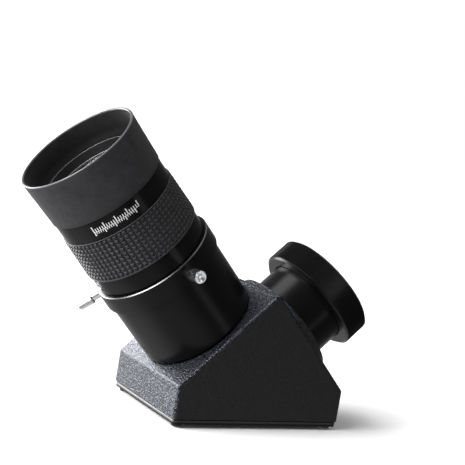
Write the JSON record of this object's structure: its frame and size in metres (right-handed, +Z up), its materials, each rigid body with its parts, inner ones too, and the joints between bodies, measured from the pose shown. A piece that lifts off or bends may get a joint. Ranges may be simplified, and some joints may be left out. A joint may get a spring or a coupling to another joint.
{
  "type": "star diagonal",
  "caption": "Right-angle mirror star diagonal: wedge-shaped cast housing, knurled coupling ring, and a thumbscrew holder with a wide-field eyepiece in it.",
  "frame": {"origin": "centre of the coupling ring's open mouth, on the telescope axis", "axes": "+Z up with the mirror cover level underneath; the telescope axis leaves the ring towards +X +Z at 45 degrees, the eyepiece axis points to -X +Z at 45 degrees, and both lie in the plane y = 0"},
  "size_m": [0.1879, 0.0758, 0.1399],
  "materials": {
    "casting_paint": "fine wrinkle paint",
    "cover_paint": "satin black",
    "black_screws": "black oxide",
    "gasket": "matte",
    "mirror_pad": "cork and rubber sheet",
    "mirror": "front-silvered",
    "spring_steel": "satin",
    "black_anodised": "satin black anodised",
    "gloss_anodised": "gloss black anodised",
    "brass": "plain",
    "thumbscrew_chrome": "polished",
    "barrel_chrome": "polished",
    "nylon": "natural nylon",
    "lens_glass": "coated",
    "grip_rubber": "moulded studs",
    "cup_rubber": "smooth matte"
  },
  "bodies": {
    "diagonal": {"housing": "casting_paint", "gasket": "gasket", "cover": "cover_paint", "cover_screw_1": "black_screws", "cover_screw_2": "black_screws", "cover_screw_3": "black_screws", "cover_screw_4": "black_screws", "mirror_pad": "mirror_pad", "mirror": "mirror", "mirror_clip_left": "spring_steel", "mirror_clip_right": "spring_steel", "eyepiece_holder": "black_anodised", "compression_ring": "brass", "scope_neck": "black_anodised"},
    "coupling_ring": {"coupling_ring": "black_anodised"},
    "screw_pad_1": {"screw_pad_1": "nylon"},
    "thumbscrew_1": {"thumbscrew_1": "thumbscrew_chrome"},
    "screw_pad_2": {"screw_pad_2": "nylon"},
    "thumbscrew_2": {"thumbscrew_2": "thumbscrew_chrome"},
    "eyepiece": {"barrel": "barrel_chrome", "field_stop": "black_anodised", "eyepiece_base": "gloss_anodised", "eyepiece_shell": "gloss_anodised", "field_flint": "lens_glass", "field_crown": "lens_glass", "lens_spacer": "black_anodised", "eye_flint": "lens_glass", "eye_crown": "lens_glass", "eye_retainer": "black_anodised", "grip_sleeve": "grip_rubber", "eyecup": "cup_rubber"}
  },
  "joints": [
    {"name": "coupling_ring_spin", "type": "hinge", "parent": "diagonal", "child": "coupling_ring", "pos_m": [0, 0, 0], "axis": [0.7071, 0, 0.7071], "continuous": true},
    {"name": "eyepiece_slide", "type": "slide", "parent": "diagonal", "child": "eyepiece", "axis": [-0.7071, 0, 0.7071], "range_m": [0, 0.036]},
    {"name": "thumbscrew_1_lift", "type": "slide", "parent": "diagonal", "child": "screw_pad_1", "axis": [0.037, -0.9986, 0.037], "range_m": [0, 0.00175]},
    {"name": "thumbscrew_1_turn", "type": "hinge", "parent": "screw_pad_1", "child": "thumbscrew_1", "pos_m": [-0.09782, -0.03395, 0.00444], "axis": [0.037, -0.9986, 0.037], "range_deg": [0, 900]},
    {"name": "thumbscrew_2_lift", "type": "slide", "parent": "diagonal", "child": "screw_pad_2", "axis": [-0.63, 0.454, -0.63], "range_m": [0, 0.00175]},
    {"name": "thumbscrew_2_turn", "type": "hinge", "parent": "screw_pad_2", "child": "thumbscrew_2", "pos_m": [-0.1205, 0.01544, -0.01824], "axis": [-0.63, 0.454, -0.63], "range_deg": [0, 900]}
  ],
  "couplings": [
    {"joint": "thumbscrew_1_turn", "follows": "thumbscrew_1_lift", "rad_per_m": 8975.9},
    {"joint": "thumbscrew_2_turn", "follows": "thumbscrew_2_lift", "rad_per_m": 8975.9}
  ]
}
